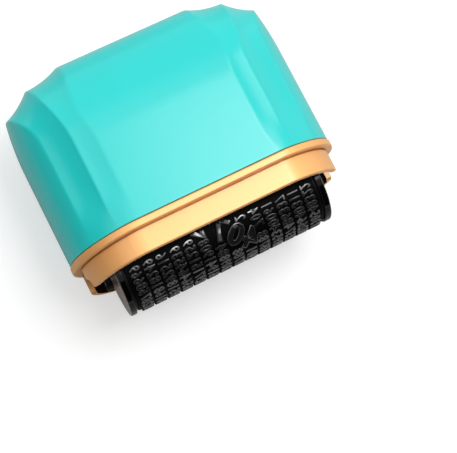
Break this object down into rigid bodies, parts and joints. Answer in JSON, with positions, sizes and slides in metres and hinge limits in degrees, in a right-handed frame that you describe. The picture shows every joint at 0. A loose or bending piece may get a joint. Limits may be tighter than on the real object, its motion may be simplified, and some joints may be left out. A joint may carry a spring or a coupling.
{
  "type": "roller stamp",
  "caption": "Hand-held roller stamp: a moulded housing on a plated trim ring, a rubber die roller that looks out of the ring, and an ink roller behind it that turns with it.",
  "frame": {"origin": "centre of the bounding box's underside, below the middle of the stamp, which lies on its rear broad face", "axes": "+X along the rollers to the right, +Y from the die roller to the top of the housing, +Z out of the front broad face"},
  "size_m": [0.0538, 0.0476, 0.0309],
  "materials": {
    "housing_plastic": "glossy moulded ABS, teal",
    "gold_plate": "satin gold plating under clear lacquer",
    "frame_plastic": "moulded black ABS",
    "flange_plastic": "glossy moulded black acetal",
    "bush_plastic": "natural acetal",
    "steel": "ground steel",
    "die_rubber": "moulded rubber with raised marks, wet with ink",
    "ink_foam": "open-cell foam soaked with black ink"
  },
  "bodies": {
    "casing": {"housing": "housing_plastic", "trim_ring": "gold_plate", "roller_frame": "frame_plastic", "frame_screws": "steel", "die_axle": "steel", "ink_axle": "steel", "die_washer_left": "flange_plastic", "die_washer_right": "flange_plastic", "ink_washer_left": "bush_plastic", "ink_washer_right": "bush_plastic", "ink_clip_left": "steel", "ink_clip_right": "steel"},
    "die_roller": {"die_core": "frame_plastic", "rubber_die": "die_rubber", "die_flange_left": "flange_plastic", "die_flange_right": "flange_plastic", "die_bush_left": "bush_plastic", "die_bush_right": "bush_plastic"},
    "ink_roller": {"ink_core": "frame_plastic", "ink_foam": "ink_foam", "ink_cap_left": "frame_plastic", "ink_cap_right": "frame_plastic", "ink_bush_left": "bush_plastic", "ink_bush_right": "bush_plastic"}
  },
  "joints": [
    {"name": "die_spin", "type": "hinge", "parent": "casing", "child": "die_roller", "pos_m": [0, -0.01581, 0.01545], "axis": [1, 0, 0], "continuous": true},
    {"name": "ink_spin", "type": "hinge", "parent": "casing", "child": "ink_roller", "pos_m": [0, -0.00106, 0.01545], "axis": [1, 0, 0], "continuous": true}
  ],
  "couplings": [
    {"joint": "ink_spin", "follows": "die_spin", "ratio": -1.2121}
  ]
}
